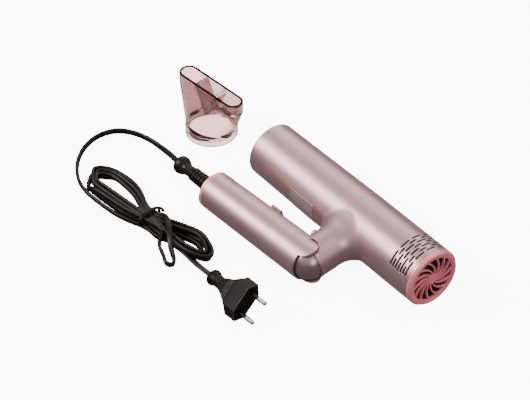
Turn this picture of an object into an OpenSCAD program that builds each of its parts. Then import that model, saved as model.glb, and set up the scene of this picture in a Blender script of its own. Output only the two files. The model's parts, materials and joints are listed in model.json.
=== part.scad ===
// Folding travel hair dryer with a lift-off concentrator nozzle and a bundled mains cord.
// The dryer lies on its barrel and its folded handle, the nozzle stands beside its outlet.
// Dryer frame: the barrel runs along Y with the outlet at +Y, the neck and hinge are at -X.

/* [Barrel] */
// Outside diameter of the rear barrel
barrel_d = 51; // [48:0.5:54]
// Outside diameter of the barrel at the air outlet
mouth_d = 48; // [47:0.5:50]
// Distance from the neck's centreline back to the intake face
rear_len = 85.2; // [84:0.1:90]
// Distance from the neck's centreline forward to the outlet rim
front_len = 120.4; // [112:0.1:130]
// Distance from the neck's centreline to the seam ring's middle
seam_y = 5.7; // [4:0.1:8]
// Wall thickness of the barrel shells
wall = 1.6; // [1.4:0.1:2]
// Width of the rose seam ring
seam_w = 1; // [0.8:0.1:1.6]
// Length of the removable intake cap's visible band
cap_len = 4.3; // [3.8:0.1:5.5]

/* [Air inlet] */
// Radius of the round intake grille
grille_r = 20.6; // [18:0.1:21]
// Number of curved grille blades
blades = 14; // [12:1:16]
// Number of rows of side vents
vent_rows = 7; // [4:1:8]
// Pitch between vent rows
vent_pitch = 2.97; // [2.9:0.01:3.2]
// Width of one vent slot
vent_w = 1.6; // [1:0.1:2]

/* [Nozzle connection] */
// Radius of the straight bore in the outlet, which takes a push-on nozzle
outlet_bore_r = 22.7; // [22.6:0.05:22.8]
// Length of that bore
outlet_bore_len = 14; // [10:1:18]
// Outside radius of the nozzle's collar
collar_r = 22.6; // [22.4:0.05:22.6]

/* [Neck and hinge] */
// Outside diameter of the neck
neck_d = 33.5; // [32:0.5:35]
// Distance from the barrel's axis to the hinge axis
hinge_x = 58.7; // [56:0.1:64]
// Radius of the handle's round hinge ears
ear_r = 9.5; // [8:0.1:11]
// Height of the ears' inner faces above the hinge's middle
ear_z = 14.7; // [14:0.1:15.2]
// Radius of the hinge knuckle's ball
ball_r = 15.1; // [14:0.1:15.2]
// Radius of the hinge pin
pin_r = 2.5; // [2:0.1:3]

/* [Handle] */
// Outside diameter of the handle at the hinge
handle_d = 35.1; // [34:0.1:36]
// Outside diameter of the handle at the cord end
handle_end_d = 33; // [32:0.1:34]
// Distance from the hinge axis to the handle's end face
handle_len = 117.5; // [110:0.5:125]
// Angle that the folded handle stands off from the barrel
fold_gap = 2.7; // [0:0.1:4]
// Distance from the hinge axis to the slide switch's middle
switch_y = 58; // [50:1:70]

/* [Nozzle] */
// Distance from the outlet rim to the standing nozzle's centre
nozzle_gap = 74.8; // [60:0.1:90]
// Height of the nozzle
nozzle_h = 48; // [42:1:55]
// Length of the nozzle's slot end
slot_len = 72; // [60:1:76]
// Width of the nozzle's slot end
slot_w = 17; // [14:0.5:20]
// Turn of the standing nozzle's slot away from the barrel's direction
nozzle_turn = 4.8; // [0:0.1:15]

/* [Cord] */
// Width of the flat two-core cord, which its plain round tube takes as its diameter
cord_d = 5.2; // [4.4:0.1:6]
// Visible length of the ribbed strain relief
relief_len = 50; // [40:1:60]

/* [Hidden] */

$fn = 96;
eps = 0.02;
gap = 0.3;                              // clearance between parts that move past each other
rose_body = [0.72, 0.60, 0.61];
rose_trim = [0.86, 0.52, 0.52];
black = [0.09, 0.08, 0.08];
dark_grey = [0.22, 0.22, 0.23];
smoky = [0.62, 0.45, 0.47, 0.6];

barrel_r = barrel_d / 2;
bore_r = barrel_r - wall;               // inside radius of the rear barrel
neck_r = neck_d / 2;
neck_wall = 1.4;
handle_r = handle_d / 2;
handle_end_r = handle_end_d / 2;
handle_wall = 1.5;
ring_len = 3.2;                         // length of the rose ring at the handle's end
tube_end = handle_len - ring_len;       // where the handle tube stops
rear_end = cap_len - rear_len;          // where the rear shell stops behind
shell_end = seam_y - seam_w / 2;        // where the rear shell stops in front
front_start = seam_y + seam_w / 2;      // where the front tube's outside starts

// The dryer leans until the handle at the hinge touches the surface that the barrel lies on.
lean = asin((barrel_r - handle_r) / hinge_x);

// The origin is under the middle of the dryer and nozzle together.
reach_left = (hinge_x + (tube_end + ring_len / 2) * sin(fold_gap)) * cos(lean) + handle_end_r;
reach_front = front_len + nozzle_gap + (slot_len - slot_w) / 2 * cos(nozzle_turn) + slot_w / 2;
axis_x = (reach_left - barrel_r) / 2;
axis_y = (rear_len - reach_front) / 2;

// The strain relief droops and turns from the handle's end.
relief_turn = -5.2;
relief_droop = 8;
relief_root = 6;                        // length of its flange inside the end cap

// Cord route over the surface, from the strain relief to the hank, in order.
// Each point is measured from the crossing of the barrel's and the neck's centrelines.
lead_out = [[-60.6, 166.9, 10.2], [-59.7, 175, 9], [-58.1, 183, 7.2], [-56.7, 191.5, 5.2],
    [-55.9, 200, 3.5], [-55.9, 208, 2.8], [-57.2, 217, 2.7], [-60.2, 227, 2.7], [-65.5, 236.5, 2.7],
    [-72.5, 243, 2.7], [-81, 246, 2.7], [-90.5, 246.5, 2.7], [-100.5, 244, 2.7],
    [-110.5, 239, 2.7], [-119.5, 232, 2.7], [-127, 223.5, 2.7], [-133, 214, 2.9],
    [-136.5, 206, 3.4], [-138.4, 199.6, 4]];
lead_in = [[-122.5, 67.5, 5.2], [-122.6, 62, 5.3], [-122.5, 56, 5.4], [-122.4, 51, 5.6],
    [-122.3, 46.5, 6], [-122.6, 41.9, 6.7]];
cord_sides = 10;

// Plug: two round pins in a flat hexagonal body that narrows to a stem with a bell mouth.
// It rests on one lower edge of the wide part and on the bell.
plug_w = 35.3;
plug_t = 13.72;
plug_flat = 21.8;                       // width of its two flat sides
plug_slab = 14.1;                       // length of its wide part
plug_len = 48.5;
bell_y = 46.5;                          // widest place of the bell, from the pin face
bell_r = 7;
pin_len = 19;
pin_gap = 18;
plug_yaw = -4.2;
plug_pitch = -9.4;
plug_roll = 42.8;
plug_at = [-126.1, -5.5];

// Height of the plug's middle, so that the lower edge of its wide part touches the surface.
plug_z = 0.02 - sin(plug_pitch) * plug_slab
    + cos(plug_pitch) * (plug_flat / 2 * sin(plug_roll) + plug_t / 2 * cos(plug_roll));

// ---------- placing ----------

// Dryer frame to the part's frame.
module dryer() {
    translate([axis_x, axis_y, barrel_r])
        rotate([0, -lean, 0])
            children();
}

// Handle frame: hinge axis along Z at its origin, handle along +Y.
module handle() {
    dryer()
        translate([-hinge_x, 0, 0])
            rotate([0, 0, fold_gap])
                children();
}

// Things that lie on the surface, measured from the barrel's and neck's centrelines.
module on_floor() {
    translate([axis_x, axis_y, 0])
        children();
}

// Turns a solid that stands along Z so that it runs along +Y, from y.
module along_y(y = 0) {
    translate([0, y, 0])
        rotate([-90, 0, 0])
            children();
}

// Tube along Z.
module pipe(r_out, r_in, len) {
    difference() {
        cylinder(r = r_out, h = len);
        translate([0, 0, -1])
            cylinder(r = r_in, h = len + 2);
    }
}

// Both sides of the hinge: children and their mirror image below.
module both_sides() {
    children();
    mirror([0, 0, 1])
        children();
}

// ---------- barrel shells ----------

// Neck outside, along -X from the barrel, with a flared root.
module neck_solid() {
    flare = 2.6;
    rotate([0, -90, 0])
        rotate_extrude()
            polygon([[0, 14], [neck_r + flare, 14], [neck_r + flare, 22.5],
                for (a = [0:15:90]) [neck_r + flare * (1 - sin(a)), 33 - 9 * cos(a)],
                [neck_r, hinge_x], [0, hinge_x]]);
}

// Room for the ears and the washers under them, on both sides of the hinge.
washer_t = 0.5;
module ear_room() {
    both_sides()
        translate([0, 0, ear_z - washer_t - 0.4])
            cylinder(r = ear_r + 0.5, h = 10);
}

// Web across the neck that the hinge knuckle is screwed to, cut like the neck by the handle's room.
neck_bore_r = neck_r - neck_wall;
web_x = -43.5;                          // its face on the hinge's side
web_t = 1.8;
knuckle_screw_at = [-6.5, 8];           // place of each screw: y, and z above and below the middle
module neck_web() {
    difference() {
        translate([web_x + web_t, 0, 0])
            rotate([0, -90, 0])
                cylinder(r = neck_bore_r + 0.5, h = web_t);
        translate([web_x - 1, -4, -5])
            cube([web_t + 2, 8, 10]);
        both_sides()
            translate([web_x - 1, knuckle_screw_at[0], knuckle_screw_at[1]])
                rotate([0, 90, 0])
                    cylinder(r = 1.35, h = web_t + 2, $fn = 32);
    }
}

// Room that the folded handle and its ears need at the neck's end.
module hinge_room() {
    translate([-hinge_x, 0, 0]) {
        along_y(-gap)
            cylinder(r = handle_r + gap, h = 60);
        ear_room();
        translate([gap - 20, -30, -30])
            cube([20, 60, 60]);
    }
}

// Side vents: rows of slots round the rear barrel, left out on the handle's side.
// Rows of long slots stand between rows of short ones, which are turned by half a step.
// Angles turn about the barrel's axis: 180 is the handle's side and 270 is the top.
vent_first = -58.8;                     // middle of the row farthest from the intake
vent_start = 212;                       // where every row starts
vent_end = 508;                         // where the rows of long slots end
vent_step = 27.2;                       // angle from one slot to the next
long_slot = 20.6;                       // angle of a long slot
short_slot = 15;                        // angle of a short slot

module vent(y, from, to) {
    w = 2 * barrel_r * sin((to - from) / 2);
    rotate([0, (from + to) / 2, 0])
        translate([barrel_r - 4, y - vent_w / 2, -w / 2])
            cube([8, vent_w, w]);
}

module long_row(y) {
    first = vent_start + 36.6;
    vent(y, vent_start, vent_start + 30);
    for (k = [0 : 8])
        vent(y, first + vent_step * k, first + vent_step * k + long_slot);
    vent(y, first + vent_step * 9, vent_end);
}

module short_row(y) {
    first = vent_start + 25.6;
    vent(y, vent_start, vent_start + short_slot + 1);
    for (k = [0 : 9])
        vent(y, first + vent_step * k, first + vent_step * k + short_slot);
}

module vents() {
    for (row = [0 : vent_rows - 1]) {
        if (row % 2 == 0)
            long_row(vent_first - row * vent_pitch);
        else
            short_row(vent_first - row * vent_pitch);
    }
}

button_x = -36.3;                       // middle of the cool-shot button along the neck
button_size = [6.4, 8];                 // its length along the neck and its height
button_top = 20.6;                      // how far its face stands from the neck's axis

// Lugs and screws that hold the motor shroud.
lug_angles = [60, 180, 300];
lug_r = 20.4;
lug_y = -25.5;
lug_len = 2.4;
lug_size = 3.8;

// Button outline in the XZ plane: a pill, run out along +Y.
module button_pill(grow, y0, y1) {
    r = button_size[0] / 2 + grow;
    s = (button_size[1] - button_size[0]) / 2;
    along_y(y0) {
        for (z = [-s, s])
            translate([button_x, z, 0])
                cylinder(r = r, h = y1 - y0, $fn = 48);
        translate([button_x - r, -s, 0])
            cube([2 * r, 2 * s, y1 - y0]);
    }
}

// Drilled lugs inside the rear shell that the motor shroud is screwed to.
module motor_lugs() {
    for (a = lug_angles)
        rotate([0, a, 0])
            translate([lug_r, 0, 0])
                along_y(lug_y)
                    pipe(lug_size, 1.4, lug_len);
}

module rear_body() {
    color(rose_body)
        dryer() {
            difference() {
                union() {
                    difference() {
                        union() {
                            along_y(rear_end)
                                cylinder(r = barrel_r, h = shell_end - rear_end);
                            neck_solid();
                        }
                        along_y(rear_end - 1)
                            cylinder(r = bore_r, h = shell_end - rear_end + 1 + eps);
                        along_y(shell_end)
                            cylinder(r = barrel_r + 0.05, h = 30);
                        rotate([0, -90, 0])
                            cylinder(r = neck_bore_r, h = 80);
                        vents();
                        button_pill(0.15, 5, 25);
                    }
                    neck_web();
                }
                hinge_room();
            }
            motor_lugs();
        }
}

// Outside radius of the tapered front tube at y.
mouth_edge = front_len - 0.8;
function front_r(y) =
    barrel_r - (barrel_r - mouth_d / 2) * (y - front_start) / (mouth_edge - front_start);

module front_tube() {
    r_mouth = mouth_d / 2;
    r_in = bore_r - 0.2;
    color(rose_body)
        dryer()
            difference() {
                along_y()
                    rotate_extrude()
                        polygon([[r_in - 1.2, 0.4], [r_in + 0.1, 0.4], [r_in + 0.1, front_start],
                            [barrel_r, front_start], [r_mouth, mouth_edge],
                            [r_mouth - 0.4, front_len], [outlet_bore_r + 0.3, front_len],
                            [outlet_bore_r, front_len - 0.4],
                            [outlet_bore_r, front_len - outlet_bore_len],
                            [outlet_bore_r - 0.8, front_len - outlet_bore_len - 0.8],
                            [r_in - 1.2, 20]]);
                rotate([0, -90, 0])
                    cylinder(r = neck_r - neck_wall, h = 40);
            }
}

module seam_ring() {
    color(rose_trim)
        dryer()
            along_y(shell_end + 0.01)
                pipe(barrel_r, bore_r + 0.02, seam_w - 0.02);
}

module barrel_screws() {
    color("silver")
        dryer()
            for (a = lug_angles)
                rotate([0, a, 0])
                    translate([lug_r, lug_y + lug_len + 2 * eps - 9, 0])
                        screw(1.25, 9, 2.4);
}

// Pan-head screw along +Y, head at the front.
module screw(r, len, head_r) {
    along_y() {
        cylinder(r = r, h = len, $fn = 24);
        translate([0, 0, len - eps])
            difference() {
                cylinder(r = head_r, h = 1.4, $fn = 32);
                for (t = [0, 90])
                    rotate([0, 0, t])
                        translate([-head_r * 0.6, -0.3, 0.7])
                            cube([head_r * 1.2, 0.6, 2]);
            }
    }
}

// Blank rating plate, a thin curved piece on the barrel's handle side.
label_from = 36;
label_to = 66;
label_w = 20.4;

module label_plate() {
    color([0.80, 0.72, 0.72])
        dryer()
            intersection() {
                along_y()
                    rotate_extrude()
                        polygon([[front_r(label_from) + 0.01, label_from],
                            [front_r(label_from) + 0.16, label_from],
                            [front_r(label_to) + 0.16, label_to],
                            [front_r(label_to) + 0.01, label_to]]);
                rotate([0, 180, 0])
                    translate([15, label_from, -label_w / 2])
                        cube([15, label_to - label_from, label_w]);
            }
}

// ---------- intake cap ----------

module intake_ring() {
    spigot = 2.2;
    color(rose_trim)
        dryer()
            along_y(-rear_len)
                rotate_extrude()
                    polygon([[grille_r + 0.5, 0], [barrel_r - 1.6, 0], [barrel_r, 2.3],
                        [barrel_r, cap_len - gap], [bore_r - 0.1, cap_len - gap],
                        [bore_r - 0.1, cap_len + spigot], [bore_r - 1.4, cap_len + spigot],
                        [bore_r - 1.4, 4], [grille_r + 0.5, 3.4]]);
}

module intake_grille() {
    depth = 2.6;
    hub_r = 4.4;
    color(rose_trim)
        dryer()
            along_y(0.5 - rear_len) {
                pipe(grille_r + 0.45, grille_r - 0.8, depth);
                cylinder(r = hub_r, h = depth);
                for (k = [0 : blades - 1])
                    rotate([0, 0, k * 360 / blades])
                        linear_extrude(depth)
                            swirl_blade(hub_r - 0.5, grille_r - 0.4);
            }
}

// Curved blade outline from the hub to the rim, which turns through blade_turn on its way.
blade_turn = 48;
function blade_edge(t, r0, r1, side) =
    let (r = r0 + (r1 - r0) * t, a = -blade_turn * pow(t, 0.8), half = 0.5 + 0.35 * t)
        [r * cos(a) - side * half * sin(a), r * sin(a) + side * half * cos(a)];
module swirl_blade(r0, r1) {
    steps = 6;
    polygon([for (i = [0 : steps]) blade_edge(i / steps, r0, r1, 1),
        for (i = [steps : -1 : 0]) blade_edge(i / steps, r0, r1, -1)]);
}

// Filter: a fine plate with a lattice of holes behind the grille.
module filter_mesh() {
    color(dark_grey)
        dryer()
            along_y(3.4 - rear_len)
                difference() {
                    cylinder(r = grille_r + 0.4, h = 0.8);
                    for (ring = [1 : 4])
                        for (k = [0 : ring * 6 - 1])
                            rotate([0, 0, k * 60 / ring])
                                translate([ring * 4.2, 0, -1])
                                    cylinder(r = 1.4, h = 3, $fn = 16);
                }
}

// ---------- inside the barrel ----------

module motor_shroud() {
    color(black)
        dryer()
            along_y(-58) {
                pipe(bore_r - 0.4, bore_r - 2, 32);
                pipe(12.9, 11.7, 22);
                for (k = [0 : 6])
                    rotate([0, 0, k * 360 / 7])
                        translate([12.5, -0.5, 10])
                            cube([bore_r - 13.5, 1, 12]);
                for (a = lug_angles)
                    rotate([0, 0, a])
                        translate([lug_r, 0, 24])
                            pipe(2.8, 1.3, 8);
            }
}

module motor() {
    color("silver")
        dryer()
            along_y(-56) {
                cylinder(r = 11.6, h = 20);
                cylinder(r = 4, h = 23);
                translate([0, 0, -7.5])
                    cylinder(r = 1.5, h = 8, $fn = 32);
            }
}

module fan_impeller() {
    color([0.85, 0.85, 0.82])
        dryer()
            along_y(-70) {
                difference() {
                    union() {
                        cylinder(r = 8, h = 10);
                        cylinder(r1 = 6.5, r2 = 8, h = 5);
                        for (k = [0 : 8])
                            rotate([0, 0, k * 40])
                                translate([7.5, 0, 5])
                                    rotate([48, 0, 0])
                                        translate([0, -5, -0.5])
                                            cube([12.8, 10, 1]);
                    }
                    translate([0, 0, 4])
                        cylinder(r = 1.55, h = 20, $fn = 32);
                }
            }
}

module heater_sleeve() {
    color([0.85, 0.82, 0.70])
        dryer()
            along_y(26)
                pipe(21.4, 20.9, 66);
}

// Heating wire: one helix wound round the crossed boards, in the local frame of along_y.
coil_r = 17;
coil_wire_r = 0.6;
coil_pitch = 6;
coil_turns = 8.75;
coil_start = 6;                         // distance from the boards' rear edge to the first turn
coil_steps = 24;                        // points per turn

function coil_point(i) =
    let (t = i / coil_steps)
        [coil_r * cos(360 * t), coil_r * sin(360 * t), coil_start + coil_pitch * t];

// Crossed insulating boards that carry the coil, notched where it passes.
module heater_frame() {
    color([0.88, 0.85, 0.74])
        dryer()
            along_y(28)
                difference() {
                    for (t = [0, 90])
                        rotate([0, 0, t])
                            translate([-20, -0.4, 0])
                                cube([40, 0.8, 60]);
                    for (quarter = [0 : 4 * coil_turns])
                        rotate([0, 0, 90 * quarter])
                            translate([coil_r, 0, coil_start + coil_pitch * quarter / 4])
                                cube([2.4, 3, 1.8], center = true);
                }
}

module heater_coils() {
    color([0.55, 0.50, 0.46])
        dryer()
            along_y(28)
                swept_tube([for (i = [0 : coil_turns * coil_steps]) coil_point(i)], coil_wire_r, 8);
}

module thermal_cutout() {
    color([0.75, 0.62, 0.35])
        dryer()
            along_y(31)
                translate([5.5, 5.5, 0]) {
                    cylinder(r = 3.6, h = 4, $fn = 32);
                    for (s = [-1.5, 1.5])
                        translate([s, 0, 3])
                            cylinder(r = 0.5, h = 6, $fn = 16);
                }
}

module ion_module() {
    color(dark_grey)
        dryer()
            translate([-12, 3, -14]) {
                cube([24, 18, 5]);
                translate([12, 17, 2.5])
                    along_y()
                        cylinder(r1 = 1.2, r2 = 0.2, h = 8, $fn = 16);
            }
}

module outlet_grille() {
    y = front_len - outlet_bore_len - 4.2;
    color(black)
        dryer()
            along_y(y) {
                pipe(21.7, 20.2, 3);
                pipe(8.4, 7.2, 3);
                pipe(14.6, 13.6, 3);
                for (t = [20 : 60 : 320])
                    rotate([0, 0, t])
                        translate([7.8, -0.5, 0.2])
                            cube([13.1, 1, 2.6]);
            }
}

// ---------- cool-shot button ----------

module cool_shot_button() {
    color(rose_trim)
        dryer() {
            button_pill(0, neck_r - 2.5, button_top);
            button_pill(0.9, neck_r - 4.4, neck_r - 2.49);
        }
}

// Return spring between the button's flange and its switch: a helix round the switch's stem.
spring_r = 1.8;
spring_wire_r = 0.25;
spring_turns = 2.5;
spring_rise = 2.3;                      // from the middle of its first end to that of its last
spring_steps = 16;                      // points per turn

module button_spring() {
    count = spring_turns * spring_steps;
    color("silver")
        dryer()
            translate([button_x, 0, 0])
                along_y(neck_r - 7.5 + spring_wire_r + 0.05)
                    swept_tube([for (i = [0 : count])
                        [spring_r * cos(360 * i / spring_steps), spring_r * sin(360 * i / spring_steps),
                            spring_rise * i / count]], spring_wire_r, 8);
}

module cool_shot_switch() {
    color(black)
        dryer()
            translate([button_x - 4.5, neck_r - 12.5, -4]) {
                cube([9, 5, 8]);
                translate([4.5, 5, 4])
                    along_y()
                        cylinder(r = 1.1, h = 0.6, $fn = 24);
            }
}

// ---------- hinge ----------

// Ball that the ears turn over, and its shank, which fits the neck's bore up to the web.
module hinge_knuckle() {
    shank_len = hinge_x + web_x - 0.1;
    color([0.50, 0.42, 0.44])
        dryer()
            translate([-hinge_x, 0, 0])
                difference() {
                    union() {
                        sphere(r = ball_r);
                        difference() {
                            rotate([0, 90, 0])
                                cylinder(r = neck_bore_r - 0.1, h = shank_len);
                            along_y(-gap)
                                cylinder(r = handle_r + gap, h = 40);
                        }
                    }
                    ear_room();
                    translate([4, -3.5, -5])
                        cube([30, 7, 10]);
                    translate([0, 0, -20])
                        cylinder(r = pin_r, h = 40);
                    both_sides()
                        translate([shank_len - 6, knuckle_screw_at[0], knuckle_screw_at[1]])
                            rotate([0, 90, 0])
                                cylinder(r = 1.22, h = 10, $fn = 32);
                }
}

// Screws through the neck's web into the knuckle.
module knuckle_screws() {
    len = 6;
    color("silver")
        dryer()
            both_sides()
                translate([web_x + web_t + 2 * eps - len, knuckle_screw_at[0], knuckle_screw_at[1]])
                    rotate([0, 0, -90])
                        screw(1.2, len, 2.1);
}

module hinge_washers() {
    color(dark_grey)
        dryer()
            translate([-hinge_x, 0, 0])
                both_sides()
                    translate([0, 0, ear_z - washer_t - 0.35])
                        pipe(6, pin_r + 0.3, washer_t);
}

module hinge_pin() {
    color("silver")
        dryer()
            translate([-hinge_x, 0, 1 - ear_z - 1.6])
                cylinder(r = pin_r, h = 2 * ear_z + 2);
}

// ---------- handle ----------

// Handle outside, from beyond the hinge ears to the tube's end.
module handle_outside() {
    along_y()
        rotate_extrude()
            polygon([[0, -ear_r - 5], [handle_r, -ear_r - 5], [handle_r, 0],
                [handle_end_r + 0.1, tube_end], [0, tube_end]]);
}

// Handle inside, cut from the hinge's opening through the cord end.
module handle_inside() {
    r_end = handle_end_r + 0.1 - handle_wall;
    along_y()
        rotate_extrude()
            polygon([[0, -1], [handle_r - handle_wall, -1], [r_end, tube_end + 1], [0, tube_end + 1]]);
}

// Board that carries the slide switch, on two pillars of the handle tube.
board_from = 38;
board_len = 54;
board_x = [-1, 0.4];                    // its lower and upper face
pillar_y = [41, 89];

// Pillars with pilot holes, from the handle's wall to the board.
module board_pillars() {
    length = 15.2;
    for (y = pillar_y)
        translate([board_x[0] - 0.05 - length, y, 0])
            rotate([0, 90, 0])
                difference() {
                    cylinder(r = 2.6, h = length, $fn = 48);
                    translate([0, 0, length - 7])
                        cylinder(r = 1.12, h = 8, $fn = 32);
                }
}

switch_len = 11;
switch_w = 13;
switch_travel = 5;                      // from off, towards the hinge
switch_top = 19.4;                      // how far the slider stands from the handle's axis

module handle_tube() {
    color(rose_body)
        handle()
            difference() {
                intersection() {
                    handle_outside();
                    union() {
                        difference() {
                            translate([-30, 0, -30])
                                cube([60, tube_end + 2, 60]);
                            handle_inside();
                        }
                        both_sides()
                            translate([0, 0, ear_z])
                                cylinder(r = ear_r, h = 12);
                        board_pillars();
                    }
                }
                translate([0, 0, -40])
                    cylinder(r = pin_r + 0.05, h = 40 + ear_z + 1.5);
                translate([0, 0, -ear_z - 4.4])
                    cylinder(r = pin_r + 1, h = 3.2);
                translate([5, switch_y - 1.8 - switch_travel, -3])
                    cube([20, 3.6 + switch_travel, 6]);
            }
}

// Plug that closes the pin's hole in the lower ear.
module hinge_cap() {
    color(rose_body)
        handle()
            intersection() {
                along_y(-20)
                    cylinder(r = handle_r, h = 40);
                translate([0, 0, -ear_z - 4])
                    cylinder(r = pin_r + 0.95, h = 2.7);
            }
}

module switch_slider() {
    half = switch_len / 2;
    color([0.62, 0.50, 0.51])
        handle() {
            intersection() {
                translate([15, switch_y - half, -switch_w / 2])
                    cube([10, switch_len, switch_w]);
                difference() {
                    along_y()
                        cylinder(r = switch_top + 0.6, h = 100);
                    along_y(-1)
                        cylinder(r = handle_r + 0.15, h = 110);
                }
            }
            translate([13, switch_y - 1.6, -2.7])
                cube([handle_r - 12, 3.2, 5.4]);
        }
}

module slide_switch() {
    color(black)
        handle()
            translate([board_x[1] + 0.02, switch_y - 11, -5.5])
                cube([12.2, 22, 11]);
}

module control_board() {
    color([0.15, 0.40, 0.25])
        handle()
            difference() {
                union() {
                    translate([board_x[0], board_from, -10])
                        cube([board_x[1] - board_x[0], board_len, 20]);
                    for (k = [0 : 3])
                        translate([board_x[0] - 5, board_from + 7 + 11 * k, -5])
                            cube([5.1, 8, 9]);
                }
                for (y = pillar_y)
                    translate([board_x[0] - 1, y, 0])
                        rotate([0, 90, 0])
                            cylinder(r = 1.25, h = 4, $fn = 32);
            }
}

module handle_screws() {
    len = 7;
    color("silver")
        handle()
            for (y = pillar_y)
                translate([board_x[1] + 2 * eps - len, y, 0])
                    rotate([0, 0, -90])
                        screw(1.1, len, 2);
}

module end_ring() {
    color(rose_trim)
        handle()
            along_y(tube_end + 0.02)
                difference() {
                    pipe(handle_end_r, handle_end_r - 3, ring_len - 0.02);
                    rotate([0, 0, -150])
                        translate([handle_end_r - 0.8, -0.8, 1])
                            cube([4, 1.6, 5]);
                }
}

module end_cap() {
    color(black)
        handle()
            along_y(tube_end - 10)
                difference() {
                    union() {
                        cylinder(r = handle_end_r - handle_wall - 0.15, h = 9);
                        cylinder(r = handle_end_r - 3.1, h = ring_len + 9.6);
                    }
                    translate([0, 0, -1])
                        cylinder(r = handle_end_r - 4, h = 7);
                    translate([0, 0, 4])
                        cylinder(r = 8.6, h = 20);
                }
}

module cord_clamp() {
    color(dark_grey)
        handle()
            for (z = [-4.4, 2.6])
                translate([-8, tube_end - 20, z])
                    cube([16, 6, 1.8]);
}

// ---------- cord and plug ----------

// Ribbed boot: a flange, seven ribs, a waist and a bell mouth.
module strain_relief() {
    ribs = 7;
    rib_pitch = 4.2;
    color(black)
        handle()
            translate([0, handle_len, 0])
                rotate([-relief_droop, 0, relief_turn])
                    along_y(-relief_root)
                        rotate_extrude($fn = 64)
                            polygon([[0, 0], [7.6, 0], [7.6, relief_root + 0.6],
                                for (k = [0 : ribs - 1])
                                    for (s = [0, 1, 2, 3])
                                        [7.0 - 0.16 * k - (s == 0 || s == 3 ? 0.9 : 0),
                                            relief_root + 1.4 + rib_pitch * k + [0, 0.3, 2.9, 3.2][s]],
                                [5.0, relief_root + 31.5], [4.9, relief_root + 38],
                                [5.6, relief_root + 41], [7.4, relief_root + 44.5],
                                [8.1, relief_root + 47.5], [7.8, relief_root + relief_len - 0.6],
                                [7.2, relief_root + relief_len],
                                [0, relief_root + relief_len]]);
}

// Ring of points round a route at index i, square to the route's direction there.
function heading(path, i) =
    let (a = path[max(i - 1, 0)], b = path[min(i + 1, len(path) - 1)]) (b - a) / norm(b - a);
function ring_points(path, r, sides) = [
    for (i = [0 : len(path) - 1])
        let (d = heading(path, i), u = cross(d, [0, 0, 1]) / norm(cross(d, [0, 0, 1])), v = cross(u, d))
            for (k = [0 : sides - 1])
                path[i] + r * (cos(k * 360 / sides) * u + sin(k * 360 / sides) * v)];

// Round tube swept along a route of points.
module swept_tube(path, r, sides) {
    last = (len(path) - 1) * sides;
    polyhedron(ring_points(path, r, sides),
        concat([[for (k = [0 : sides - 1]) k]],
            [for (i = [0 : len(path) - 2]) for (k = [0 : sides - 1])
                let (n = (k + 1) % sides)
                    [i * sides + k, (i + 1) * sides + k, (i + 1) * sides + n, i * sides + n]],
            [[for (k = [sides - 1 : -1 : 0]) last + k]]));
}

module power_cord() {
    color(black)
        on_floor()
            swept_tube(lead_out, cord_d / 2, cord_sides);
}

module plug_tail() {
    color(black)
        on_floor()
            swept_tube(lead_in, cord_d / 2, cord_sides);
}

hank_base = 0.7;
hank_top = 12.6;
waist = [-118.5, 125];

module capsule(a, ra, b, rb) {
    hull() {
        translate(a)
            circle(r = ra, $fn = 32);
        translate(b)
            circle(r = rb, $fn = 32);
    }
}

// Outer shape of the bundled turns: two loops that meet at the tied waist, and one loose fold.
module cord_hank() {
    color(black)
        on_floor()
            translate([0, 0, hank_base])
                linear_extrude(hank_top - hank_base)
                    union() {
                        capsule([-121.5, 190], 19.5, waist, 8.5);
                        capsule([-111, 75], 15, waist, 8.5);
                        capsule([-134.5, 80.5], 4, [-119, 116], 5);
                    }
}

module cord_tie() {
    color("black")
        on_floor()
            translate([waist[0] - 0.4, waist[1] + 7, 0])
                rotate([0, 0, 3])
                    difference() {
                        translate([-11.6, -1.5, 0])
                            cube([23.2, 3, hank_top + 0.7]);
                        translate([-10.8, -2, hank_base - 0.1])
                            cube([21.6, 4, hank_top - hank_base + 0.2]);
                    }
}

// Plug frame: pins along -Y from the origin on its face, pin row along X.
module plug() {
    on_floor()
        translate([plug_at[0], plug_at[1], plug_z])
            rotate([0, 0, plug_yaw])
                rotate([plug_pitch, 0, 0])
                    rotate([0, -plug_roll, 0])
                        children();
}

// Hexagonal section of the plug at y: half its width, half its flat sides and half its thickness.
module plug_section(y, w, f, t, len) {
    along_y(y)
        linear_extrude(len)
            polygon([[w, 0], [f, t], [-f, t], [-w, 0], [-f, -t], [f, -t]]);
}

// Body of the plug: places and half sizes [y, w, f, t] from the wide part to the stem.
plug_stations = [[plug_slab, plug_w / 2, plug_flat / 2, plug_t / 2], [17.5, 14.6, 9, 6.7],
    [21.7, 11.7, 7.2, 6.4], [26.3, 8.9, 5.6, 6], [33, 6.7, 3.9, 5.4]];
stem_r = 5.4;

module plug_body() {
    stem_from = 33;
    color(black)
        plug()
            difference() {
                union() {
                    plug_section(0, plug_w / 2, plug_flat / 2, plug_t / 2, plug_slab);
                    for (i = [0 : len(plug_stations) - 2])
                        hull() {
                            a = plug_stations[i];
                            b = plug_stations[i + 1];
                            plug_section(a[0] - 0.1, a[1], a[2], a[3], 0.1);
                            plug_section(b[0] - 0.1, b[1], b[2], b[3], 0.1);
                        }
                    along_y()
                        rotate_extrude($fn = 48)
                            polygon([[0, stem_from - 3], [stem_r, stem_from - 3], [stem_r, 41.5],
                                [6.2, 44.6], [bell_r, bell_y - 0.6], [bell_r, bell_y + 0.6],
                                [6.2, plug_len], [0, plug_len]]);
                }
                for (s = [-1, 1])
                    translate([s * pin_gap / 2, 0, 0])
                        along_y(-1)
                            cylinder(r = 1.99, h = 9, $fn = 32);
            }
}

module plug_sleeves() {
    color(black)
        plug()
            for (s = [-1, 1])
                translate([s * pin_gap / 2, 0, 0])
                    along_y(-10)
                        pipe(1.9, 1.5, 17, $fn = 32);
}

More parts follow.
